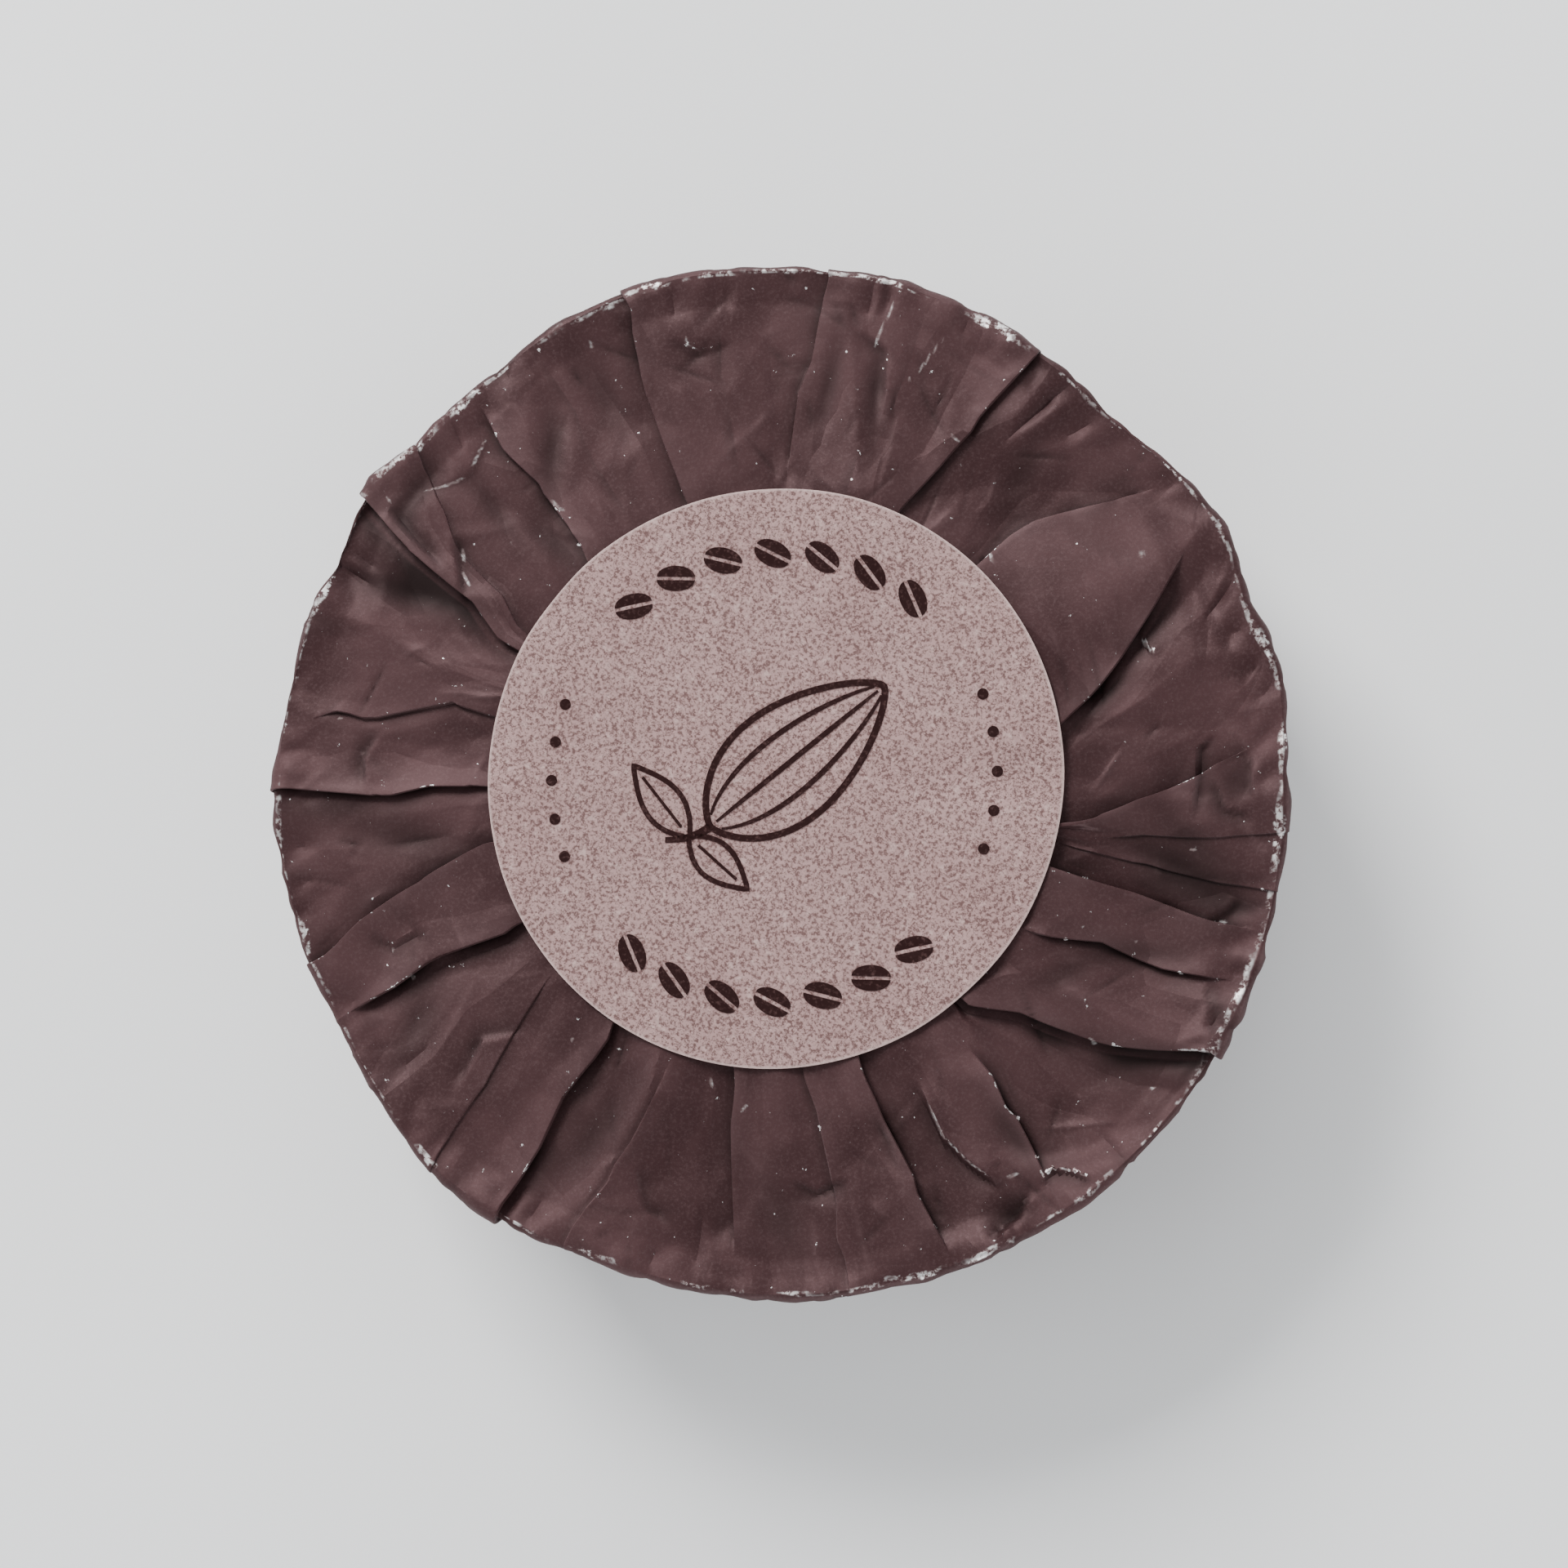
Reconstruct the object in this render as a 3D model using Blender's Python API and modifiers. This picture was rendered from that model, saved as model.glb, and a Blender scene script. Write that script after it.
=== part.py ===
"""A foil-wrapped chocolate disc, lying on its smooth face with its gathered side and round label up.

Metres, +Z up. The origin is the middle of the smooth face, on the surface that the disc lies on.
+Y is the top of the disc as it is seen from above, and angles run counter-clockwise from +X.
"""

from math import cos, pi, radians, sin, tan

import bpy
import numpy as np

MM = 0.001

# The disc: a low cone frustum, wider at the gathered side
RIM_RADIUS = 20.0 * MM
RIM_HEIGHT = 9.5 * MM
RIM_ROLL = 0.45 * MM
DRAFT = radians(10)
SHOULDER_HEIGHT = 3.2 * MM
FACE_RADIUS = 15.6 * MM

# The gathered side, a little below the rolled rim
BACK_HEIGHT = 9.3 * MM
SEAT_RADIUS = 11.6 * MM
BACK_RADIUS = 19.1 * MM
PLEAT_RUNOUT = 1.0 * MM

# The round paper label on the middle of the gathered side
LABEL_RADIUS = 11.25 * MM
LABEL_THICKNESS = 0.2 * MM
LABEL_GAP = 0.3 * MM
LABEL_EDGE = 0.05 * MM

# Columns round the disc, and rows down each stretch of its outline
COLUMNS = 192
BACK_ROWS = 6
RIM_ROWS = 4
SIDE_ROWS = 5
SHOULDER_ROWS = 5
LABEL_COLUMNS = 96

# The folds pressed flat over the back, in order round the disc. Each runs from the label to the rim:
# its angle beside the label and at the rim in degrees, and how high the foil stands just before
# and just after it, in tenths of a millimetre above or below the mean of the gathered side.
FOLDS = (
    (9, 31, -2, 3),
    (46, 36, 2, -2),
    (64, 57, -1, 2),
    (74, 71, 1, 1),
    (86, 84, 1, -1),
    (97, 96, 1, 1),
    (107, 108, 2, -1),
    (119, 118, 1, 1),
    (131, 128, 2, -1),
    (149, 137, 1, 2),
    (153, 145, 3, -3),
    (166, 172, 1, -1),
    (181, 181, 2, -2),
    (193, 201, -1, 2),
    (208, 208, 3, -2),
    (221, 229, 1, 0),
    (236, 238, 3, -2),
    (250, 246, 1, 2),
    (262, 265, -2, 2),
    (277, 278, 1, 2),
    (288, 290, 3, -1),
    (307, 303, 2, -2),
    (311, 327, -3, 3),
    (329, 336, -1, 2),
    (341, 341, 2, -2),
    (346, 346, -1, 0),
    (348, 353, 0, 1),
    (350, 364, 1, -1),
)

# The rim's outline isn't quite round: angle in degrees, and millimetres out from the rim radius
OUTLINE = (
    (0, -0.3),
    (10, -0.1),
    (19, -0.6),
    (28, -0.2),
    (46, -0.9),
    (63, -0.4),
    (76, 0.0),
    (105, 0.4),
    (124, -0.1),
    (137, -0.2),
    (143, 0.4),
    (154, -0.1),
    (185, 0.1),
    (208, -0.3),
    (230, 0.2),
    (252, -0.2),
    (270, 0.0),
    (310, 0.2),
    (332, 0.1),
)

# Flutes down the side, where the foil is drawn in. They are deepest from this height up
FLUTES = 64
FLUTE_DEPTH = 0.32 * MM
FLUTE_TOP = 6.5 * MM

FOIL_COLOUR = (0.080, 0.043, 0.045)
PAPER_COLOUR = (0.392, 0.275, 0.270)


def clear_scene():
    """Remove whatever the file holds."""
    for thing in list(bpy.data.objects):
        bpy.data.objects.remove(thing)


def principled(name, colour, roughness, metallic):
    """A plain material of one colour."""
    material = bpy.data.materials.new(name)
    material.use_nodes = True
    shader = material.node_tree.nodes["Principled BSDF"]
    shader.inputs["Base Color"].default_value = (*colour, 1.0)
    shader.inputs["Roughness"].default_value = roughness
    shader.inputs["Metallic"].default_value = metallic
    return material


def turned(name, profile, columns, collection):
    """A closed body turned from (radius, height) points that run down its outer side."""
    mesh = bpy.data.meshes.new(name)
    points = [(radius, 0.0, height) for radius, height in profile]
    edges = [(i, i + 1) for i in range(len(points) - 1)]
    mesh.from_pydata(points, edges, [])
    body = bpy.data.objects.new(name, mesh)
    screw = body.modifiers.new("turn", "SCREW")
    screw.axis = "Z"
    screw.steps = columns
    screw.render_steps = columns
    screw.use_merge_vertices = True
    screw.merge_threshold = 0.00001
    collection.objects.link(body)
    evaluated = body.evaluated_get(bpy.context.evaluated_depsgraph_get())
    body.data = bpy.data.meshes.new_from_object(evaluated)
    body.modifiers.clear()
    return body


def steps(start, end, count):
    """Evenly spaced values after start, up to and including end."""
    return [start + (end - start) * i / count for i in range(1, count + 1)]


def disc_outline():
    """Radius and height down the disc: back, rolled rim, drafted side, round shoulder, smooth face."""
    points = [(0.0, BACK_HEIGHT), (SEAT_RADIUS, BACK_HEIGHT)]
    points += [(radius, BACK_HEIGHT) for radius in steps(SEAT_RADIUS, BACK_RADIUS, BACK_ROWS)]

    roll_radius = RIM_RADIUS - RIM_ROLL
    roll_height = RIM_HEIGHT - RIM_ROLL
    for turn in steps(pi * 0.65, -DRAFT, RIM_ROWS):
        points.append((roll_radius + RIM_ROLL * cos(turn), roll_height + RIM_ROLL * sin(turn)))

    side_top_radius, side_top = points[-1]
    lean = tan(DRAFT)
    for height in steps(side_top, SHOULDER_HEIGHT, SIDE_ROWS):
        points.append((side_top_radius - (side_top - height) * lean, height))

    shoulder_radius = points[-1][0]
    corner_radius = shoulder_radius - SHOULDER_HEIGHT * lean
    for t in steps(0.0, 1.0, SHOULDER_ROWS):
        wall, corner, face = (1 - t) ** 2, 2 * t * (1 - t), t**2
        radius = wall * shoulder_radius + corner * corner_radius + face * FACE_RADIUS
        points.append((radius, wall * SHOULDER_HEIGHT))
    points.append((0.0, 0.0))
    return points


def fade(values, start, end):
    """0 at start and before, 1 at end and after, and smooth between."""
    t = np.clip((values - start) / (end - start), 0.0, 1.0)
    return t * t * (3.0 - 2.0 * t)


def fold_columns():
    """The column at the rim that each fold follows."""
    return np.array([round(rim * COLUMNS / 360) for _, rim, _, _ in FOLDS])


def fold_lean(columns):
    """How far beside the label each column has swung from its place at the rim, in radians."""
    swing = [radians(label - rim) for label, rim, _, _ in FOLDS]
    return np.interp(columns, fold_columns(), swing, period=COLUMNS)


def fold_height(columns):
    """Height of the foil in each column: from each fold it climbs or falls evenly to the next."""
    starts = fold_columns() + 1
    ends = np.roll(fold_columns(), -1)
    ends[-1] += COLUMNS
    after = np.array([fold[3] for fold in FOLDS]) * MM / 10
    before = np.roll([fold[2] for fold in FOLDS], -1) * MM / 10
    along = (columns - starts[0]) % COLUMNS + starts[0]
    fold = np.searchsorted(starts, along, side="right") - 1
    share = (along - starts[fold]) / (ends[fold] - starts[fold])
    return after[fold] + (before[fold] - after[fold]) * share


def rim_outline(angles):
    """Distance of the rim from its mean radius, with straight runs between its soft corners."""
    at, out = np.array(OUTLINE).T
    return np.interp(np.degrees(angles) % 360, at, out * MM, period=360)


def flutes(angles):
    """Uneven waves round the side, 0 at a ridge and -1 in a valley."""
    phase = FLUTES * angles + 1.6 * np.sin(5 * angles + 0.7) + 1.1 * np.sin(11 * angles + 2.1)
    depth = 0.75 + 0.25 * np.sin(7 * angles + 1.3)
    return -depth * (0.5 - 0.5 * np.cos(phase))


def gather_foil(body):
    """Move the turned disc's points to the folds, the uneven rim and the flutes of its wrapper."""
    mesh = body.data
    places = np.empty(len(mesh.vertices) * 3)
    mesh.vertices.foreach_get("co", places)
    x, y, z = places.reshape(-1, 3).T
    radius = np.hypot(x, y)
    angle = np.arctan2(y, x) % (2 * pi)
    column = np.rint(angle * COLUMNS / (2 * pi)).astype(int) % COLUMNS
    back = z > BACK_HEIGHT - RIM_ROLL

    spread = np.where(back, fade(radius, SEAT_RADIUS, BACK_RADIUS), fade(z, 0, RIM_HEIGHT))
    crimp = np.where(back, fade(radius, BACK_RADIUS - PLEAT_RUNOUT, BACK_RADIUS), fade(z, 0, FLUTE_TOP))
    inward = np.clip((BACK_RADIUS - radius) / (BACK_RADIUS - SEAT_RADIUS), 0, 1)
    pleated = fade(radius, SEAT_RADIUS, SEAT_RADIUS + PLEAT_RUNOUT)
    pleated = pleated * (1 - fade(radius, BACK_RADIUS, RIM_RADIUS))

    radius = radius + rim_outline(angle) * spread + flutes(angle) * FLUTE_DEPTH * crimp
    angle = angle + np.where(back, fold_lean(column) * inward, 0)
    z = z + np.where(back, fold_height(column) * pleated, 0)
    moved = np.column_stack((radius * np.cos(angle), radius * np.sin(angle), z))
    mesh.vertices.foreach_set("co", moved.ravel())
    mesh.update()


def make_wrapped_disc(collection):
    """The chocolate in its shut foil, one solid."""
    body = turned("wrapped_disc", disc_outline(), COLUMNS, collection)
    gather_foil(body)
    body.data.shade_smooth()
    body.data.set_sharp_from_angle(angle=radians(25))
    body.data.materials.append(principled("foil", FOIL_COLOUR, 0.42, 0.35))


def make_label(collection):
    """The round sticker that holds the gathered foil down."""
    bottom = BACK_HEIGHT + LABEL_GAP
    top = bottom + LABEL_THICKNESS
    profile = [
        (0.0, top),
        (LABEL_RADIUS - LABEL_EDGE, top),
        (LABEL_RADIUS, top - LABEL_EDGE),
        (LABEL_RADIUS, bottom),
        (0.0, bottom),
    ]
    body = turned("label", profile, LABEL_COLUMNS, collection)
    body.data.materials.append(principled("paper", PAPER_COLOUR, 0.75, 0.0))


clear_scene()
chocolate = bpy.data.collections.new("wrapped_chocolate_disc")
bpy.context.scene.collection.children.link(chocolate)
make_wrapped_disc(chocolate)
make_label(chocolate)
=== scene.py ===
"""Looks of a foil-wrapped chocolate disc: brown foil gathered under a round paper label.

Metres, +Z up. The disc lies on its smooth face with the gathered side up, as its solids do.
"""

from math import cos, pi, radians, sin, tan

import bpy
import numpy as np
from mathutils import Matrix, Vector
from mathutils.geometry import delaunay_2d_cdt


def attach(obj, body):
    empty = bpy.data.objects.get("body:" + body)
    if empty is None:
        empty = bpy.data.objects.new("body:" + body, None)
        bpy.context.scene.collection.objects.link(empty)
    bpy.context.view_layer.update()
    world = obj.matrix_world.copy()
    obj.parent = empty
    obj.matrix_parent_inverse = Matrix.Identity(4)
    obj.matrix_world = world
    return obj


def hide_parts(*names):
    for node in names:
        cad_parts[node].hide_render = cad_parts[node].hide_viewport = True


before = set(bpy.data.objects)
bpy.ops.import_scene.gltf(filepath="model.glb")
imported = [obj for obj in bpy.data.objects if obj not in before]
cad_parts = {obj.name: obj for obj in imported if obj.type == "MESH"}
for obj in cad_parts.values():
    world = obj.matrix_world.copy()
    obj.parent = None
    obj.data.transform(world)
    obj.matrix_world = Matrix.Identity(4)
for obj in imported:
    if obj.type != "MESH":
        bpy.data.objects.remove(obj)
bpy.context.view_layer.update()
MM = 0.001

# The foil wrapper
# One round sheet of thin aluminium foil, lacquered brown outside. It is drawn smooth over the
# chocolate's face, fluted up the side, folded over the rim and pressed flat in leaning pleats.
RIM_RADIUS = 20 * MM
RIM_HEIGHT = 9.5 * MM
RIM_ROLL = 0.3 * MM
DRAFT = radians(10)
SHOULDER_HEIGHT = 3.2 * MM
FACE_RADIUS = 15.6 * MM
BACK_HEIGHT = 9.3 * MM
BACK_RISE = 0.12 * MM
SEAT_HEIGHT = BACK_HEIGHT + BACK_RISE
SEAT_RADIUS = 10.4 * MM
LABEL_RADIUS = 11.25 * MM
MIDDLE_RADIUS = 15.5 * MM
BACK_RADIUS = 18.5 * MM
LEAST_ARM = 6 * MM

# Each fold: its angle beside the label and at the rim in degrees, how high the foil stands just
# before and just after it in pleat steps, and how far from the label it begins and from the rim it
# runs out in mm
FOLDS = (
    (9, 31, -2, 3, 0, 3),
    (46, 36, 2, -2, 0, 2.4),
    (64, 57, -1, 2, 0, 0),
    (74, 71, 1, 1, 0, 2),
    (86, 84, 1, -1, 2, 0),
    (97, 96, 1, 1, 0, 3),
    (107, 108, 2, -1, 0, 0),
    (119, 118, 1, 1, 2, 0),
    (131, 128, 2, -1, 0, 2),
    (149, 137, 1, 2, 0, 0),
    (153, 145, 3, -3, 0, 0),
    (166, 172, 1, -1, 0, 2.5),
    (181, 181, 2, -2, 0, 0),
    (193, 201, -1, 2, 0, 0),
    (208, 208, 3, -2, 0, 1.8),
    (221, 229, 1, 0, 1.5, 0),
    (236, 238, 3, -2, 0, 0),
    (250, 246, 1, 2, 2, 0),
    (262, 265, -2, 2, 0, 2.8),
    (277, 278, 1, 2, 0, 0),
    (288, 290, 3, -1, 0, 1.8),
    (307, 303, 2, -2, 3.2, 2.4),
    (311, 327, -3, 3, 0, 0),
    (329, 336, -1, 2, 1.4, 2),
    (341, 341, 2, -2, 0, 1.8),
    (346, 346, -1, 0, 1, 0),
    (348, 353, 0, 1, 3, 0),
    (350, 364, 2, -2, 0, 2.8),
)
PLEAT_STEP = 0.085 * MM

# The rim's outline: angle in degrees, and millimetres out from the rim radius
OUTLINE = (
    (0, -0.3), (10, -0.1), (19, -0.6), (28, -0.2), (46, -0.9), (63, -0.4), (76, 0), (105, 0.4),
    (124, -0.1), (137, -0.2), (143, 0.4), (154, -0.1), (185, 0.1), (208, -0.3), (230, 0.2),
    (252, -0.2), (270, 0), (310, 0.2), (332, 0.1),
)

# Loose edges that stand out: how high the foil stands to the left of the path and how deep it is
# tucked in to its right in mm, how bare the edge is, and the path's points as angle in degrees and
# radius in mm
LOOSE_EDGES = (
    (0.34, 0.3, 1, ((-65, 12.6), (-65, 15.3), (-63.5, 16.5), (-61.4, 17.7), (-59.2, 17.6))),
    (0.14, 0.16, 1, ((-57.5, 18.7), (-55, 18.3), (-53, 18.9), (-51.7, 19.8))),
    (0.16, 0.24, 0.6, ((-57.5, 18.5), (-60.8, 19.1), (-65.3, 19.6))),
    (0.04, 0.24, 0, ((-7.5, 16.3), (-1, 16.5), (2.6, 16.5), (4.6, 17.2))),
    (0.03, 0.16, 0, ((-1, 17), (-5.4, 17.6), (-5.8, 18.8))),
    (0.05, 0.12, 0.4, ((4, 18), (0.5, 18.6), (-4.5, 18.5))),
    (0.03, 0.12, 0, ((-32.3, 19.6), (-29.5, 19.1), (-25.9, 18.2))),
    (0.05, 0.06, 0.6, ((27.5, 16.5), (34, 15.2), (40, 14.6))),
    (0.1, 0.04, 1, ((20.8, 15.2), (16.1, 15.6))),
    (0.05, 0.2, 0.2, ((147.4, 15.4), (145.9, 17.2), (144.5, 18.9))),
    (0.05, 0.2, 0.2, ((150.2, 14.2), (146.4, 14.9), (142.1, 16))),
    (0.03, 0.06, 0, ((141, 18.3), (134.6, 17.4), (129.4, 18.1))),
    (0.05, 0.1, 0.3, ((-19.7, 17.4), (-17.5, 18.2), (-15, 18.6))),
    (0.05, 0.12, 0.3, ((226, 13.4), (221, 15.2), (224, 17.4))),
    (0.06, 0.14, 0.5, ((199, 17.4), (203, 16.4), (202, 14.8))),
    (0.05, 0.12, 0.2, ((258, 18), (253, 17.4), (250, 15.8))),
    (0.05, 0.12, 0.3, ((80, 17.8), (75, 17.2), (73, 15))),
    (0.04, 0.18, 0, ((172, 15.8), (176, 16.4), (180.5, 16.2))),
    (0.04, 0.16, 0, ((272, 15.4), (276, 16), (281, 15.6))),
    (0.06, 0.1, 0.8, ((104, 17.8), (100, 16.8), (95, 17.2))),
)

# Soft dents, also painted with shade by their depth: angle in degrees, radius in mm, way from the
# radial in degrees, half length, half width and depth in mm
DENTS = (
    (-14, 16.2, -16, 2.5, 0.9, 0.25),
    (-9.2, 16.2, -30, 1.8, 0.5, 0.12),
    (-26.5, 15.7, 20, 1.6, 0.45, 0.15),
    (-39.7, 16.3, 26, 3.2, 0.55, 0.09),
    (-36.5, 18.3, 30, 1, 0.5, 0.09),
    (-56.4, 16.6, 0, 1.3, 0.45, 0.18),
    (-61.4, 18.9, 70, 0.9, 0.45, 0.14),
    (-2, 17.9, 80, 0.9, 0.6, 0.12),
    (13.5, 13, 15, 1.1, 0.45, 0.1),
    (50, 15.4, 10, 2, 0.7, 0.12),
    (141, 18.2, -70, 1.6, 0.5, 0.19),
    (152.5, 16.6, 10, 2.4, 0.7, 0.25),
    (124, 15.8, -35, 1.8, 0.5, 0.17),
    (133, 12.8, 0, 1.2, 0.5, 0.15),
    (136, 15.6, -8, 1.5, 0.4, 0.15),
    (188, 15, -12, 2.2, 0.8, 0.14),
    (214, 17.2, 30, 1.6, 0.7, 0.14),
    (243, 15.4, -10, 2.4, 0.7, 0.14),
    (271, 17, 20, 1.8, 0.8, 0.12),
    (114, 16.6, 8, 2, 0.6, 0.12),
    (81.7, 15.4, -6, 1.7, 0.36, 0.15),
    (74.8, 15.2, 12, 1.5, 0.36, 0.15),
    (-35, 13.6, 60, 1.2, 0.5, 0.12),
)

# Strokes worn bare on small ridges: angle in degrees, radius in mm, way from the radial in degrees
# and half length in mm
STROKES = (
    (128.3, 13.9, 12, 0.55),
    (137.6, 13.9, 6, 0.4),
    (132, 17.8, -67, 0.88),
    (137.9, 17.8, 67, 1.05),
    (146.6, 14.6, -28, 0.46),
    (143.9, 15.2, -44, 0.4),
    (40.3, 14.5, 20, 0.16),
    (27.8, 16.7, 50, 0.34),
    (18.3, 15.4, -70, 0.57),
    (76, 18.2, -11, 1.3),
    (69.2, 17.6, -17, 1.2),
    (79.8, 17, 0, 0.16),
    (70.8, 16.4, 20, 0.22),
    (61.3, 15, 80, 0.34),
    (-27, 13.3, 40, 0.18),
    (-25.3, 15.3, 70, 0.14),
    (-40, 18.6, 60, 0.22),
    (-59.2, 17.7, 80, 0.4),
    (-18.6, 18.2, 30, 0.34),
)

# Layers of flat facets in the foil's sheen: a cell's width and length, and how far it tips
FACET_LAYERS = ((3 * MM, 6 * MM, 0.16), (1.1 * MM, 2.4 * MM, 0.06))

# Where the rim is worn more broadly and where a second edge lies beside it, as the angles in degrees
# where each begins, is full, lets up and ends; where that edge steps inward; and a bare tip
BROAD_WEAR = (-45, -33, 10, 25)
DOUBLE_EDGE = (312, 319, 336, 342)
EDGE_STEP = 327
BARE_TIP = 143

LIP_REACH = 0.3 * MM
LIFT_REACH = 0.55 * MM
FLUTE_PITCH = 1.7 * MM
FLUTE_DEPTH = 0.32 * MM
GLINT_WIDTH = 0.1 * MM
STROKE_WIDTH = 0.11 * MM
SHARP_ANGLE = radians(24)


def fade(values, start, end):
    """0 up to start, 1 from end on, and 3t^2 - 2t^3 between them."""
    t = np.clip((values - start) / (end - start), 0, 1)
    return t * t * (3 - 2 * t)


def bell(values, width):
    """exp(-(v / width)^2): 1 where the values are 0, and near 0 two widths away."""
    return np.exp(-((values / width) ** 2))


def sector(way, start, full, falling, end):
    """1 from full to falling, 0 outside start and end, and soft between them, by angle in degrees."""
    past = (way - start) % 360
    return fade(past, 0, full - start) * (1 - fade(past, falling - start, end - start))


def mix(first, last, share):
    """From first at share 0, evenly, to last at share 1."""
    return first + (last - first) * share


def line(start, end, count):
    """Evenly spaced points of a straight line, or evenly spaced numbers, start left out."""
    return np.linspace(start, end, count + 1)[1:]


def foil_run():
    """The foil's section from the middle of the back, out over the rim and down to the smooth face.

    A straight run, a quarter roll at the rim, a wall that leans in by the draft, and a quadratic
    curve tangent to wall and table round the shoulder.
    """
    seat_edge = (SEAT_RADIUS, SEAT_HEIGHT)
    seat = line((0, SEAT_HEIGHT), seat_edge, 3)
    low = (BACK_RADIUS, BACK_HEIGHT)
    back = line(seat_edge, low, 64)
    lip = line(low, (RIM_RADIUS - RIM_ROLL, RIM_HEIGHT - 0.02 * MM), 8)
    roll_centre = (RIM_RADIUS - RIM_ROLL, RIM_HEIGHT - RIM_ROLL)
    turn = line(pi / 2, -DRAFT, 8)
    roll = roll_centre + RIM_ROLL * np.column_stack((np.cos(turn), np.sin(turn)))
    wall_end_radius = roll[-1, 0] - (roll[-1, 1] - SHOULDER_HEIGHT) * tan(DRAFT)
    wall = line(roll[-1], (wall_end_radius, SHOULDER_HEIGHT), 20)
    t = line(0, 1, 9)[:, None]
    corner_radius = wall_end_radius - SHOULDER_HEIGHT * tan(DRAFT)
    points = np.array(((wall_end_radius, SHOULDER_HEIGHT), (corner_radius, 0), (FACE_RADIUS, 0)))
    shoulder = (1 - t) ** 2 * points[0] + 2 * t * (1 - t) * points[1] + t**2 * points[2]
    face = line((FACE_RADIUS, 0), (0, 0), 5)[:-1]
    return np.vstack((seat, back, lip, roll, wall, shoulder, face))


def lip_columns(before, after):
    """Nine columns across a fold: place in mm, place where it has run out, share of the sheet before
    it, shade and worn edge.

    Where one sheet lies over the other, its edge rounds over tightly and tucks back under itself.
    """
    lapped, plain, share, shade, worn = np.array((
        (-0.3, -0.1, -0.03, 0, -0.005, -0.06, -0.035, 0.06, 0.3),
        (-0.3, -0.15, -0.06, -0.02, 0, 0.02, 0.06, 0.15, 0.3),
        (1, 1, 0.97, 0.8, 0.45, 0.1, 0, 0, 0),
        (0, 0, 0, 0, 0.15, 0.6, 1, 0.75, 0.3),
        (0, 0.3, 1, 0.7, 0, 0, 0, 0, 0),
    ))
    strength = min(1, abs(before - after) / 4)
    lapped = mix(plain, lapped, strength)
    shade *= 0.3 + 0.7 * strength
    worn *= strength
    if before >= after:
        return lapped, plain, share, shade, worn
    return -lapped[::-1], -plain[::-1], 1 - share[::-1], shade[::-1], worn[::-1]


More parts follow.
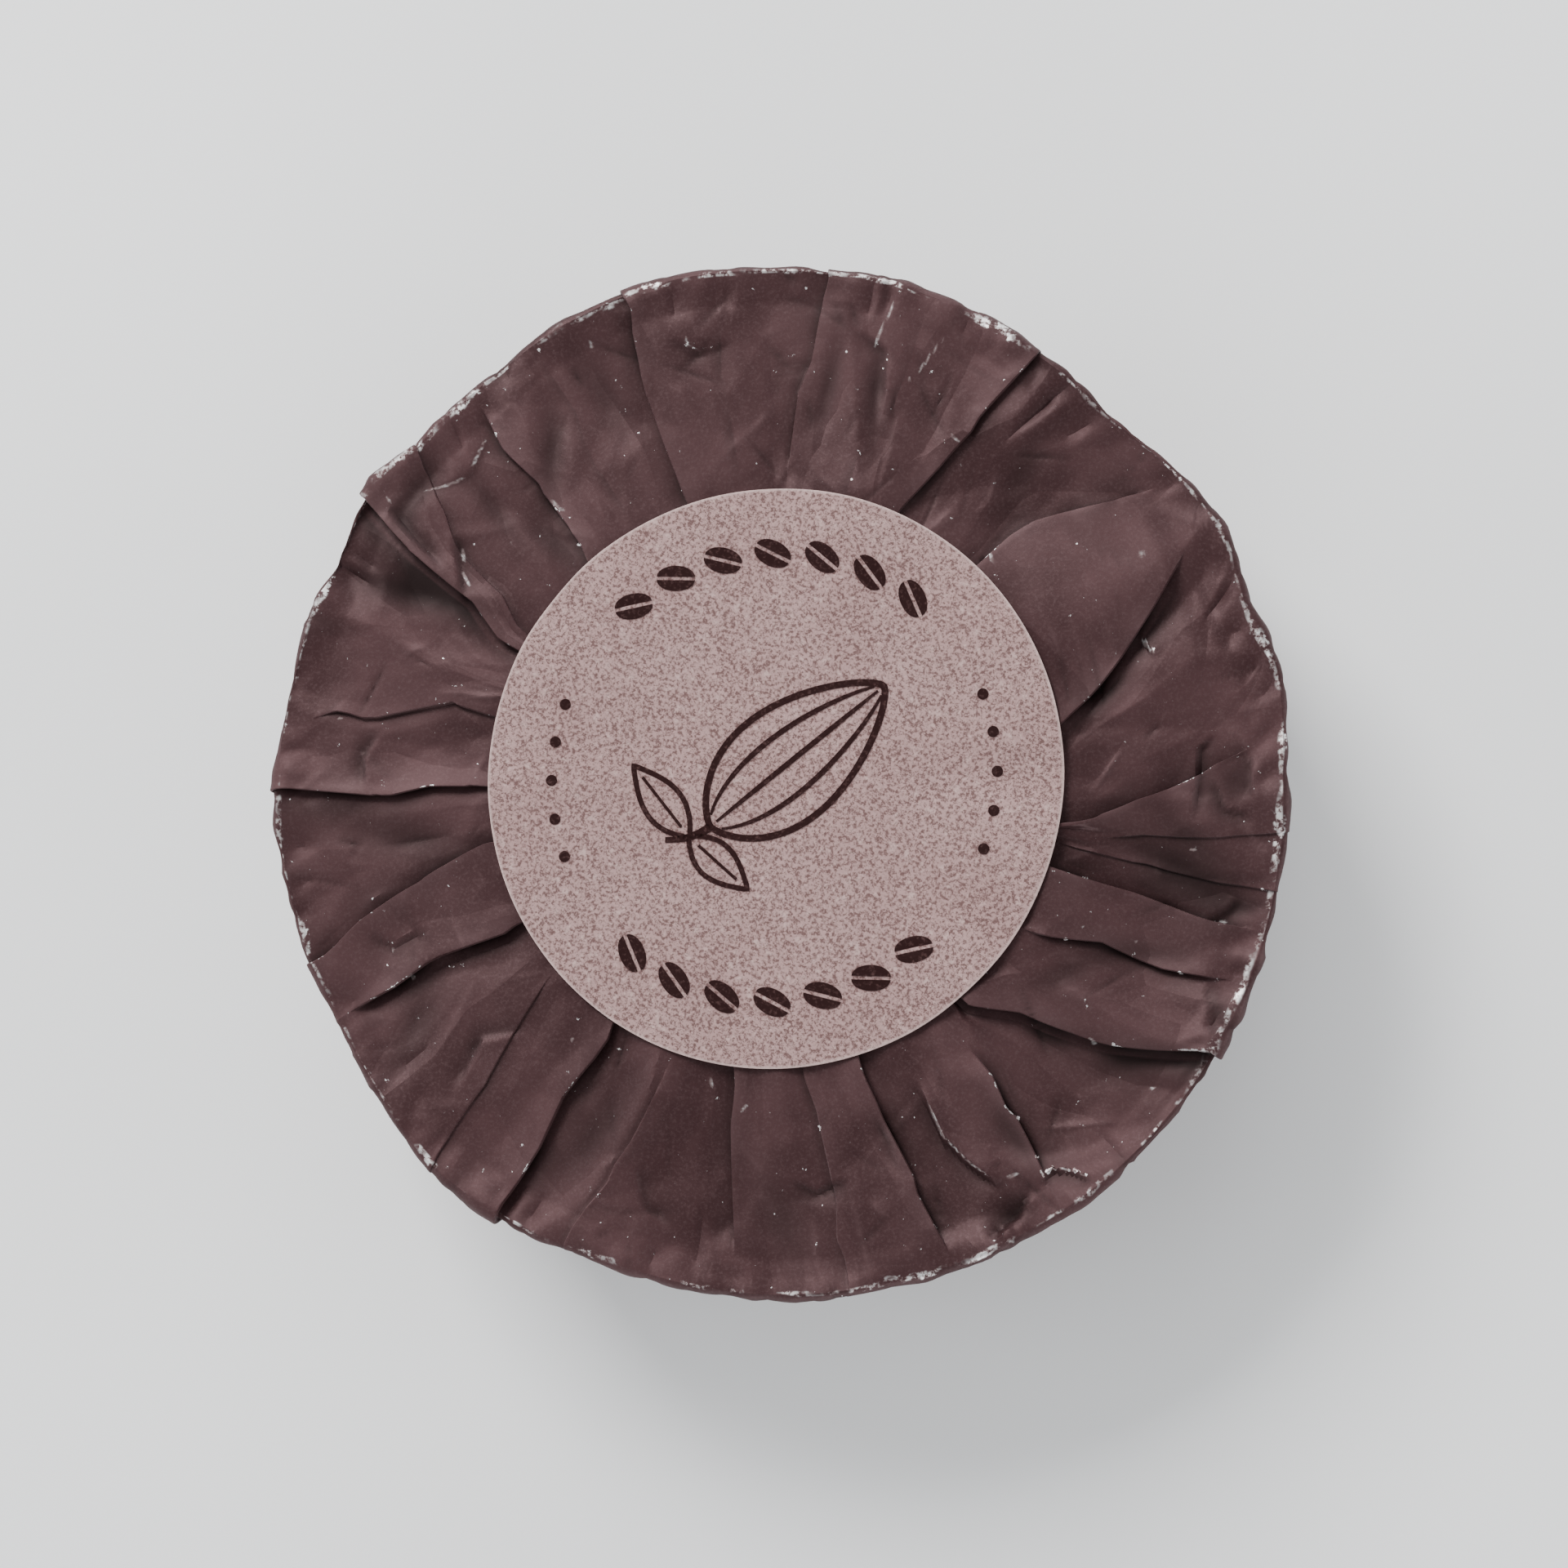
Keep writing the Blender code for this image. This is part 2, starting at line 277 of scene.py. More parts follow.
def lay_columns():
    """Every column of the sheet round the disc, as arrays by name.

    rim and label are its angles at the two ends of the back. across and plain are its shift beside a
    fold's line where the fold is shut and where it has run out, height and calm its height there in
    pleat steps, and drop its height down the side. kept says whether the fold goes on there, begin
    and end where it does on the back. flute is the side's flutes, reach and foot how far they run in
    from the rim and how near the table. shade is a fold's painted shade and shadow, pale its painted
    light on the upper sheet by the fold's edge, worn and glint its bare and bright places, and inner
    and outer where its glints are.
    """
    draw = np.random.default_rng(41)
    lift_draw = np.random.default_rng(43)
    folds = len(FOLDS)
    label_at, rim_at, before, after, begin, end = np.array(FOLDS, float).T
    next_label = np.append(label_at[1:], label_at[0] + 360)
    next_rim = np.append(rim_at[1:], rim_at[0] + 360)
    label_gap = np.radians(next_label - label_at)
    rim_gap = np.radians(next_rim - rim_at)
    gap = np.minimum(label_gap * LABEL_RADIUS, rim_gap * RIM_RADIUS)
    lip = np.minimum(LIP_REACH, 0.42 * np.minimum(gap, np.roll(gap, 1)))
    width = (label_gap + rim_gap) / 2 * MIDDLE_RADIUS
    slope = (np.roll(before, -1) - after) / width
    mean = (before + after) / 2
    calm_slope = (np.roll(mean, -1) - mean) / width
    strength = np.minimum(1, np.abs(before - after) / 4)
    puff = lift_draw.uniform(0.4, 1, folds) * strength
    tuck = lift_draw.uniform(0.4, 0.9, folds) * strength
    lift_before = np.where(before > after, puff, -tuck)
    lift_after = np.where(before > after, -tuck, puff)
    # Painted light on the upper sheet by each fold's edge, as strong as the fold
    painted_light_before = np.where(before > after, strength, 0)
    painted_light_after = np.where(before > after, 0, strength)
    kept = (end == 0).astype(float)
    fold = dict(
        rim=rim_at,
        label=label_at,
        begin=begin,
        end=end,
        kept=kept,
        lip=lip,
        down=draw.uniform(0.1, 0.6, folds) * kept,
        valley=draw.uniform(0.3, 0.8, folds),
        reach=draw.uniform(0.8, 2.2, folds),
        foot=draw.uniform(0.6, 2.4, folds),
        # soft and band: strength and width of the painted shadow on a fold's low side
        soft=draw.uniform(0.65, 1, folds) * (np.abs(before - after) / 6) ** 1.5,
        band=draw.uniform(0.45, 0.95, folds) * MM,
    )
    following = {name: np.roll(values, -1) for name, values in fold.items()}
    following.update(rim=next_rim, label=next_label)
    inner = begin + draw.uniform(0.2, 2.4, folds) + 99 * (draw.random(folds) < 0.7)
    outer = end + draw.uniform(-0.2, 0.8, folds) + 99 * (draw.random(folds) < 0.6)

    groups = []
    for k in range(folds):
        across, plain, share, shade, worn = lip_columns(before[k], after[k])
        scale = MM * lip[k] / LIP_REACH
        across, plain = across * scale, plain * scale
        near = np.exp(-np.abs(across) / LIFT_REACH)
        height = share * (before[k] + slope[k - 1] * across + lift_before[k] * near)
        height += (1 - share) * (after[k] + slope[k] * across + lift_after[k] * near)
        groups.append(dict(
            across=across,
            plain=plain,
            height=height,
            calm=mean[k] + np.where(plain < 0, calm_slope[k - 1], calm_slope[k]) * plain,
            drop=height * fold["down"][k],
            flute=-fold["valley"][k],
            shade=shade,
            worn=worn,
            pale=(share * painted_light_before[k] + (1 - share) * painted_light_after[k]) * near,
            glint=bell(across, GLINT_WIDTH),
            inner=inner[k],
            outer=outer[k],
            **{name: fold[name][k] for name in ("rim", "label", "kept", "begin", "end", "reach", "foot")},
        ))

        next_fold = (k + 1) % folds
        low_after = after[k] < before[k]
        low_before = before[next_fold] < after[next_fold]
        count = max(1, round(rim_gap[k] * RIM_RADIUS / FLUTE_PITCH))
        edges = np.arange(1, count) / count + draw.uniform(-0.28, 0.28, count - 1) / count
        edges = np.hstack((0, edges, 1))
        long = draw.random(count - 1) < 0.14
        flutes = dict(
            reach=np.where(long, draw.uniform(3, 5.5, count - 1), draw.uniform(0.7, 2.2, count - 1)),
            valley=draw.uniform(0.3, 1, count - 1),
            foot=draw.uniform(0.6, 3.4, count - 1),
        )
        for name, values in flutes.items():
            flutes[name] = np.hstack((fold[name][k], values, following[name][k]))
        for j in range(count):
            t = line(0, 1, 8)
            if j == count - 1:
                t = t[:-1]
            here = {name: mix(values[j], values[j + 1], t) for name, values in flutes.items()}
            along = mix(edges[j], edges[j + 1], t)
            over = {
                name: mix(fold[name][k], following[name][k], along)
                for name in ("rim", "label", "kept", "begin", "end", "down")
            }
            place = lip[k] + along * (width[k] - lip[k] - following["lip"][k])
            rest = width[k] - place
            near, near_next = np.exp(-place / LIFT_REACH), np.exp(-rest / LIFT_REACH)
            height = after[k] + slope[k] * place + lift_after[k] * near + lift_before[next_fold] * near_next
            shift = lip[k] * (1 - along) - following["lip"][k] * along
            # Painted shadow beside a fold on its low side, flat for about a band's width, then fading
            shade = fold["soft"][k] * low_after / (1 + (place / fold["band"][k]) ** 4)
            shade += following["soft"][k] * low_before / (1 + (rest / following["band"][k]) ** 4)
            groups.append(dict(
                across=shift,
                plain=shift,
                height=height,
                calm=mean[k] + calm_slope[k] * place,
                drop=height * over.pop("down"),
                flute=-here["valley"] * (1 - np.sin(pi * t ** draw.uniform(0.7, 1.4))),
                reach=here["reach"],
                foot=here["foot"],
                shade=shade,
                pale=painted_light_after[k] * near + painted_light_before[next_fold] * near_next,
                **over,
            ))
    return {
        name: np.hstack([np.full(len(group["across"]), group.get(name, 0.0)) for group in groups])[None, :]
        for name in groups[0]
    }


def jagged(angles, pitch, seed):
    """A broken line round the disc: random values from -1 to 1 at uneven places, straight between.

    The places are about pitch apart, in mm.
    """
    chance = np.random.default_rng(seed)
    count = round(2 * pi * RIM_RADIUS / (pitch * MM))
    at = (np.arange(count) + chance.uniform(-0.4, 0.4, count)) * 2 * pi / count
    return np.interp(angles % (2 * pi), at, chance.uniform(-1, 1, count), period=2 * pi)


def rim_outline(angles):
    """Distance of the rim from its mean radius: long straight runs between soft corners."""
    at, out = np.array(OUTLINE).T
    return np.interp(np.degrees(angles) % 360, at, out * MM, period=360)


def waves(x, y, count, length, seed):
    """Sum of plane waves in all directions, between about -1 and 1, of about one length."""
    chance = np.random.default_rng(seed)
    total = np.zeros_like(x)
    for _ in range(count):
        way = chance.uniform(0, 2 * pi)
        pitch = length * chance.uniform(0.7, 1.5)
        total += np.sin((x * cos(way) + y * sin(way)) * 2 * pi / pitch + chance.uniform(0, 2 * pi))
    return total / count**0.5


def crumple(around, along, pitch, stretch, seed):
    """Heights from -1 to 1 that are flat over each triangle of a scattered net, as in crushed foil.

    The net's points are a jittered grid, pitch apart round the disc and pitch * stretch down the
    foil, joined by Delaunay triangles. Inside a triangle the height is linear.
    """
    chance = np.random.default_rng(seed)
    girth = 2 * pi * RIM_RADIUS
    columns = round(girth / pitch)
    rows = round(along.max() / (pitch * stretch)) + 3
    net_u = (np.arange(columns)[None, :] + chance.uniform(-0.45, 0.45, (rows, columns))) / columns
    net_v = (np.arange(rows)[:, None] - 0.5 + chance.uniform(-0.45, 0.45, (rows, columns))) * pitch
    level = chance.uniform(-1, 1, (rows, columns))
    net_u = np.concatenate([(net_u + turn).ravel() for turn in (-1, 0, 1)]) * girth
    net_v = np.tile(net_v.ravel(), 3)
    level = np.tile(level.ravel(), 3)
    kept = (net_u > -4 * pitch) & (net_u < girth + 4 * pitch)
    net = np.column_stack((net_u, net_v))[kept] / pitch
    level = level[kept]
    _, _, triangles, source, _, _ = delaunay_2d_cdt([Vector(p) for p in net], [], [], 0, 1e-6)
    u = (around % girth) / pitch
    v = np.broadcast_to(along, around.shape) / pitch / stretch
    total = np.zeros_like(u)
    for corners in triangles:
        mine = [source[i][0] for i in corners]
        a, b, c = net[mine]
        low, high = np.min((a, b, c), axis=0), np.max((a, b, c), axis=0)
        near = (u >= low[0]) & (u <= high[0]) & (v >= low[1]) & (v <= high[1])
        du, dv = u[near] - a[0], v[near] - a[1]
        area = (b[0] - a[0]) * (c[1] - a[1]) - (b[1] - a[1]) * (c[0] - a[0])
        to_b = (du * (c[1] - a[1]) - dv * (c[0] - a[0])) / area
        to_c = (dv * (b[0] - a[0]) - du * (b[1] - a[1])) / area
        inside = (to_b >= -1e-6) & (to_c >= -1e-6) & (to_b + to_c <= 1 + 1e-6)
        at_a, at_b, at_c = level[mine]
        total[near] = np.where(inside, at_a + to_b * (at_b - at_a) + to_c * (at_c - at_a), total[near])
    return total


def creases(x, y, places):
    """Heights of the ridges and depths of the valleys of short creases.

    Each is a cusp exp(-|across| / width), faded along its length by (1 - t^2)^2.
    """
    ridge, valley = np.zeros((2, *x.shape))
    for at_x, at_y, way, half, width, depth in places:
        along = ((x - at_x) * cos(way) + (y - at_y) * sin(way)) / half
        near = np.abs(along) < 1
        across = -(x[near] - at_x) * sin(way) + (y[near] - at_y) * cos(way)
        height = abs(depth) * np.exp(-np.abs(across) / width) * (1 - along[near] ** 2) ** 2
        (ridge if depth > 0 else valley)[near] += height
    return ridge, valley


def scatter_creases(count, near, far, tilt, half, width, depth, seed):
    """Places for creases between two run lengths in mm, each turned from the radial way by about tilt.

    Their half lengths, widths and depths are ranges in mm.
    """
    chance = np.random.default_rng(seed)
    places = []
    for _ in range(count):
        run = chance.uniform(near, far) * MM
        angle = chance.uniform(0, 2 * pi)
        way = angle + chance.normal(0, tilt)
        sign = 1 if chance.random() < 0.5 else -1
        places.append((
            run * cos(angle),
            run * sin(angle),
            way,
            chance.uniform(*half) * MM,
            chance.uniform(*width) * MM,
            sign * chance.uniform(*depth) * MM,
        ))
    return places


def loose_edges(x, y):
    """Height, painted shade on the tucked side, and worn edge of the loose edges.

    To the left of a path the height is h exp(-d / 0.6 mm), to its right -depth exp(-d / 0.5 mm), where
    d is the way to the nearest point of the path. The share of the left grows as tanh over 0.1 mm, and
    all fades at the path's ends.
    """
    height, painted_shade, worn = np.zeros((3, *x.shape))
    for stand, tuck, bare, path in LOOSE_EDGES:
        angle, away = np.array(path).T
        angle = np.radians(angle)
        corners = np.column_stack((away * np.cos(angle), away * np.sin(angle))) * MM
        nearest = np.full(x.shape, 1.0)
        side = along = np.zeros_like(x)
        spans = np.hypot(*np.diff(corners, axis=0).T)
        passed = 0
        for first, last, span in zip(corners[:-1], corners[1:], spans):
            way = (last - first) / span
            t = np.clip((x - first[0]) * way[0] + (y - first[1]) * way[1], 0, span)
            off_x, off_y = x - first[0] - way[0] * t, y - first[1] - way[1] * t
            off = np.hypot(off_x, off_y)
            closer = off < nearest
            nearest = np.minimum(off, nearest)
            side = np.where(closer, np.sign(way[0] * off_y - way[1] * off_x), side)
            along = np.where(closer, passed + t, along)
            passed += span
        ends = fade(along, 0, 0.3 * passed) * (1 - fade(along, 0.75 * passed, passed))
        left = 0.5 + 0.5 * np.tanh(side * nearest / (0.1 * MM))
        stood = stand * np.exp(-nearest / (0.6 * MM))
        tucked = -tuck * np.exp(-nearest / (0.5 * MM))
        height += (left * stood + (1 - left) * tucked) * MM * ends
        # The tucked side is also painted with shade
        painted_shade += (1 - left) * np.exp(-nearest / (0.35 * MM)) * ends * min(1, tuck / 0.16)
        worn += bell(side * nearest - 0.1 * MM, 0.09 * MM) * ends * bare
    return height, painted_shade, worn


def own_axes(x, y, angle, away, way):
    """How far points lie along and across a line at an angle and radius, way degrees from the radial."""
    turn = radians(angle)
    way = turn + radians(way)
    off_x, off_y = x - away * MM * cos(turn), y - away * MM * sin(turn)
    return off_x * cos(way) + off_y * sin(way), off_y * cos(way) - off_x * sin(way)


def strokes(x, y, places):
    """Marks of short bare strokes, a bell across each, and faded at their ends by 1 - t^4."""
    marks = np.zeros_like(x)
    for angle, away, way, half in places:
        along, across = own_axes(x, y, angle, away, way)
        fading = np.clip(1 - (along / (half * MM)) ** 4, 0, 1)
        marks = np.maximum(marks, bell(across, STROKE_WIDTH) * fading)
    return marks


def scatter_strokes(count, near, far, seed):
    """Places for more strokes between two radii in mm, most of them nearly radial."""
    chance = np.random.default_rng(seed)
    return np.column_stack((
        chance.uniform(0, 360, count),
        chance.uniform(near, far, count),
        chance.normal(0, 30, count),
        chance.uniform(0.15, 0.5, count),
    ))


def dents(x, y):
    """Depth of the soft dents, each a bell along times a bell across."""
    depth = np.zeros_like(x)
    for angle, away, way, half_length, half_width, deep in DENTS:
        along, across = own_axes(x, y, angle, away, way)
        depth += deep * MM * bell(along, half_length * MM) * bell(across, half_width * MM)
    return depth


def rim_wear(angle, outer):
    """The rim's bare line, the gap by its doubled edge, painted with shade, and the relief of both.

    outer is how far out a point lies past the rim in mm. The line is a bell across the rim, whose
    place and width wander, and on the right it is broader. At the lower right a second edge runs
    beside it, and at the upper left there is a bare tip.
    """
    way = np.degrees(angle) % 360
    broad_wear = sector(way, *BROAD_WEAR)
    wander = 0.22 + 0.07 * jagged(angle, 0.8, 23) + 0.05 * jagged(angle, 3.1, 24) + 0.08 * broad_wear
    wide = 0.14 + 0.09 * jagged(angle, 1.5, 25) + 0.04 * jagged(angle, 0.6, 26) + 0.11 * broad_wear
    at_rim = bell(outer + wander, np.clip(wide, 0.06, 0.36))
    doubled = sector(way, *DOUBLE_EDGE) * (0.55 + 0.45 * jagged(angle, 1.1, 22))
    inset = 0.44 + 0.26 * (way > EDGE_STEP) + 0.16 * jagged(angle, 2.3, 17) + 0.1 * jagged(angle, 0.9, 19)
    second = bell(outer + 0.24 + inset, 0.13) * doubled
    tip = bell(way - BARE_TIP, 2.6) * bell(outer + 0.35, 0.4)
    # Painted shade in the gap between the doubled edges, which is also sunk
    between = bell(outer + 0.24 + inset / 2, 0.16) * doubled
    between *= np.clip(0.55 + 0.6 * jagged(angle, 1.4, 20), 0, 1)
    at_rim = np.max((at_rim, second, 0.62 * tip, 0.55 * between), axis=0)
    nick = 0.07 * jagged(angle, 2.7, 13) + 0.035 * jagged(angle, 0.9, 16)
    return at_rim, between, (0.05 * second - 0.09 * between + bell(outer, 0.8) * nick) * MM


def foil_surface():
    """The wrapper's surface as rows of points down the run and columns round the disc.

    A point is the section's point, carried round to its column's leaning angle and moved along the
    section's normal by the pleats, flutes, creases and soft waves.
    """
    run = foil_run()
    radius, height = run.T[:, :, None]
    step = np.gradient(run, axis=0)
    step /= np.hypot(*step.T)[:, None]
    out, up = -step[:, 1, None], step[:, 0, None]
    length = np.concatenate(((0,), np.cumsum(np.hypot(*np.diff(run, axis=0).T))))[:, None] + run[0, 0]
    rim_length = length[np.argmax(radius[:, 0] + height[:, 0])]
    arm = np.maximum(radius, LEAST_ARM)
    run_at, outer, high, from_label = [
        values / MM for values in (length, length - rim_length, height, length - LABEL_RADIUS)
    ]

    column = lay_columns()
    inward = (RIM_RADIUS - RIM_ROLL - radius) / (RIM_RADIUS - RIM_ROLL - LABEL_RADIUS)
    inward = np.where(outer < 0, np.clip(inward, 0, 1.2), 0)
    angle = np.radians(mix(column["rim"], column["label"], inward))

    on_back = fade(run_at, 9.4, 12.4) * (1 - fade(outer, -0.6, 0.2))
    on_side = fade(outer, -1, 0.2) * fade(high, 0.6, 5)
    begins = fade(from_label, column["begin"] - 1.6, column["begin"])
    ends = fade(outer, -column["end"], 1.2 - column["end"])
    shut = np.where(outer < 0, begins * (1 - ends), column["kept"])
    lapped = np.maximum(fade(run_at, 6, 10) * (outer < 0), fade(high, 0, 4))
    angle += mix(column["plain"], column["across"], shut) * lapped / arm

    crumpled = fade(run_at, 9.5, 12) * fade(high, 0.2, 4)
    side_on = fade(outer, -0.5, 0.5)
    sway = crumple(angle * RIM_RADIUS, length, 3.2 * MM, 0.8, 3) * 0.36 * MM * crumpled
    angle += sway * (1 - 0.5 * side_on) / arm
    x = length * np.cos(angle)
    y = length * np.sin(angle)

    reach_in = 1 - fade(-outer, 0.25 * column["reach"], column["reach"])
    reach_down = fade(high, column["foot"], column["foot"] + 2.6)
    fluted = np.where(outer < 0, reach_in, reach_down) * fade(run_at, 11.5, 13)
    fluted *= 1 - 0.86 * bell(outer, np.where(outer < 0, 1, 0.4))
    relief = column["flute"] * FLUTE_DEPTH * fluted
    pleat = mix(column["calm"], column["height"], shut)
    relief += (pleat * on_back + column["drop"] * on_side) * PLEAT_STEP

    places = scatter_creases(150, 11.5, 19.5, 0.8, (0.5, 2.2), (0.05, 0.14), (0.02, 0.08), 5)
    places += scatter_creases(200, 19.5, 27.5, 0.22, (0.8, 3.4), (0.1, 0.3), (0.02, 0.08), 6)
    ridge, valley = creases(x, y, places)
    loose, tucked, edge = loose_edges(x, y)
    dent = dents(x, y)
    relief += (ridge - valley + loose - dent) * crumpled
    around_rim = angle * RIM_RADIUS
    rough = crumple(around_rim, length, 2.7 * MM, 1.4, 11) * 0.2 * MM * (1 - 0.7 * side_on)
    rough += crumple(around_rim, length, 1.2 * MM, 1.3, 12) * 0.05 * MM * (1 - 0.5 * side_on)
    rough += crumple(around_rim, length, 2.2 * MM, 3, 14) * 0.1 * MM * side_on
    relief += rough * crumpled

    at_rim, between, rim_relief = rim_wear(angle, outer)
    relief += rim_relief

    spread = np.where(outer < 0, fade(length, 11.5 * MM, rim_length), fade(height, 0, RIM_HEIGHT))
    around = radius + out * relief + rim_outline(angle) * spread
    level = np.maximum(height + up * relief, 0)
    points = np.stack((around * np.cos(angle), around * np.sin(angle), level), axis=-1)

    laid = np.radians(column["rim"]) + 0 * length
    sheet = np.stack((RIM_RADIUS * np.cos(laid), RIM_RADIUS * np.sin(laid), length + 0 * laid), axis=-1)
    uneven = np.clip(0.85 + 0.5 * waves(x, y, 6, 3.4 * MM, 31), 0.3, 1.3)
    folded = shut * uneven * np.maximum(on_back, 0.7 * on_side)
    spots = bell(from_label - column["inner"], 0.17) + bell(outer + column["outer"], 0.17)
    # Painted shade: darker in crease valleys, on the tucked sides of loose edges, in dents, in the rim's
    # doubled gap and in the side's flute valleys
    painted_shades = valley / (0.11 * MM) + tucked + dent / (0.24 * MM) + 0.6 * between
    painted_shades -= 0.42 * column["flute"] * fluted * side_on
    scattered = scatter_strokes(14, 11.8, 19.2, 18)
    on_wall = scatter_strokes(12, 20.8, 26, 27)
    bare_strokes = strokes(x, y, np.vstack((STROKES, scattered, on_wall))) * crumpled
    # Painted light: paler on the side's flute crests, on the upper sheet by each fold's edge and on crease
    # ridges
    side_painted_light = np.clip(1 + 1.5 * column["flute"], 0, 1) * fluted * side_on
    back_painted_light = (0.55 * column["pale"] * folded + ridge / (0.12 * MM)) * crumpled * (1 - side_on)
    # Among the marks: painted shade in the foil's folds and hollows, and painted light on its crests
    marks = {
        "rim": at_rim,
        "worn": (ridge / (0.1 * MM) + 2.2 * edge) * crumpled + column["worn"] * folded,
        "painted_shade": painted_shades * crumpled + column["shade"] * folded,
        "glint": column["glint"] * spots * on_back,
        "stroke": np.maximum(bare_strokes, np.clip(2 * edge - 0.9, 0, 1.1)),
        "painted_light": side_painted_light + back_painted_light,
        "crumpled": np.broadcast_to(crumpled * (1 - 0.55 * side_on), x.shape),
        "sheet": sheet,
    }
    return points, marks


def new_piece(name, vertices, faces):
    """An object with a new mesh, put in the scene."""
    mesh = bpy.data.meshes.new(name)
    mesh.from_pydata(vertices, [], faces)
    piece = bpy.data.objects.new(name, mesh)
    bpy.context.scene.collection.objects.link(piece)
    return piece


def closed_grid(name, points, top, bottom, marks=None):
    """A closed mesh from rows and columns of points, with a fan of faces at its top and bottom pole.

    Each mark is kept as an attribute of the points, and is 0 at the poles.
    """
    rows, columns = points.shape[:2]
    index = np.arange(rows * columns).reshape(rows, columns)
    right = np.roll(index, -1, axis=1)
    quads = np.stack((index[:-1], index[1:], right[1:], right[:-1]), axis=-1).reshape(-1, 4)
    top_pole = np.full(columns, rows * columns)
    top_fan = np.stack((top_pole, index[0], right[0]), axis=-1)
    bottom_fan = np.stack((index[-1], top_pole + 1, right[-1]), axis=-1)
    faces = quads.tolist() + top_fan.tolist() + bottom_fan.tolist()
    piece = new_piece(name, np.vstack((points.reshape(-1, 3), top, bottom)).tolist(), faces)
    for mark_name, values in (marks or {}).items():
        kind, field, size = ("FLOAT_VECTOR", "vector", 3) if values.ndim == 3 else ("FLOAT", "value", 1)
        attribute = piece.data.attributes.new(mark_name, kind, "POINT")
        attribute.data.foreach_set(field, np.append(values, np.zeros(2 * size)).astype(np.float32))
    piece.data.shade_smooth()
    return piece


def new_material(name):
    """An empty material, its node tree and its Principled shader."""
    material = bpy.data.materials.new(name)
    material.use_nodes = True
    return material, material.node_tree, material.node_tree.nodes["Principled BSDF"]


def feed(tree, socket, value):
    """Join an input to another node's output, or set its plain value."""
    if isinstance(value, bpy.types.NodeSocket):
        tree.links.new(value, socket)
    else:
        socket.default_value = value


def feed_named(tree, node, **inputs):
    """Feed a node's inputs by name, spaces written as _."""
    for name, value in inputs.items():
        feed(tree, node.inputs[name.replace("_", " ")], value)


def put(tree, kind, settings=None, **inputs):
    """Add a shader node, set its properties and feed its inputs by name."""
    node = tree.nodes.new("ShaderNode" + kind)
    for name, value in (settings or {}).items():
        setattr(node, name, value)
    feed_named(tree, node, **inputs)
    return node


def join(tree, node, *values):
    """Feed a node's first inputs in turn, and return its first output."""
    for socket, value in zip(node.inputs, values):
        feed(tree, socket, value)
    return node.outputs[0]


def calculate(tree, operation, *values, clamp=False):
    """A Math node on sockets or plain numbers, returned as its output."""
    return join(tree, put(tree, "Math", {"operation": operation, "use_clamp": clamp}), *values)


def combine(tree, operation, value, *others):
    """The same Math operation with each of the others in turn."""
    for other in others:
        value = calculate(tree, operation, value, other)
    return value


def vector(tree, operation, *values):
    """A Vector Math node on sockets or plain vectors, returned as its output."""
    return join(tree, put(tree, "VectorMath", {"operation": operation}), *values)


def ramp(tree, value, low, high, to_low=0, to_high=1):
    """A value taken smoothly from one range to another."""
    node = put(tree, "MapRange", {"interpolation_type": "SMOOTHSTEP"})
    return join(tree, node, value, low, high, to_low, to_high)


def blend(tree, share, first, second):
    """Two colours mixed by a share. Each is a socket or a plain colour."""
    node = put(tree, "Mix", {"data_type": "RGBA"})
    for name, value in (("Factor", share), ("A", first), ("B", second)):
        socket = [s for s in node.inputs if s.name == name and s.enabled][0]
        feed(tree, socket, (*value, 1) if isinstance(value, tuple) else value)
    return [s for s in node.outputs if s.enabled][0]


def speckle(tree, place, scale, detail=2, roughness=0.5, settings=None):
    """Noise of so many lumps a metre, as its value."""
    look = dict(Vector=place, Scale=scale, Detail=detail, Roughness=roughness)
    return put(tree, "TexNoise", settings, **look).outputs["Fac"]


def object_place(tree):
    """Coordinates in metres on the piece itself."""
    return put(tree, "TexCoord").outputs["Object"]


def mark(tree, name, output="Fac"):
    """One of the mesh's own attributes."""
    return put(tree, "Attribute", {"attribute_name": name}).outputs[output]


def bumped(tree, height, strength, distance, **normal):
    """The surface's normal, or another, tipped by the slope of a height."""
    node = put(tree, "Bump", Height=height, Strength=strength, Distance=distance, **normal)
    return node.outputs["Normal"]


def facet_normal(tree, sheet, amount):
    """The surface's normal, tipped by chance in each cell of the nets of FACET_LAYERS on the sheet."""
    normal = put(tree, "NewGeometry").outputs["Normal"]
    for width, length, tip in FACET_LAYERS:
        place = vector(tree, "MULTIPLY", sheet, (1 / width, 1 / width, 1 / length))
        net = put(tree, "TexVoronoi", Vector=place, Scale=1)
        chance = vector(tree, "SUBTRACT", net.outputs["Color"], (0.5, 0.5, 0.5))
        share = calculate(tree, "MULTIPLY", amount, tip)
        tipped = put(tree, "VectorMath", {"operation": "SCALE"}, Vector=chance, Scale=share)
        normal = vector(tree, "ADD", normal, tipped.outputs[0])
    return vector(tree, "NORMALIZE", normal)


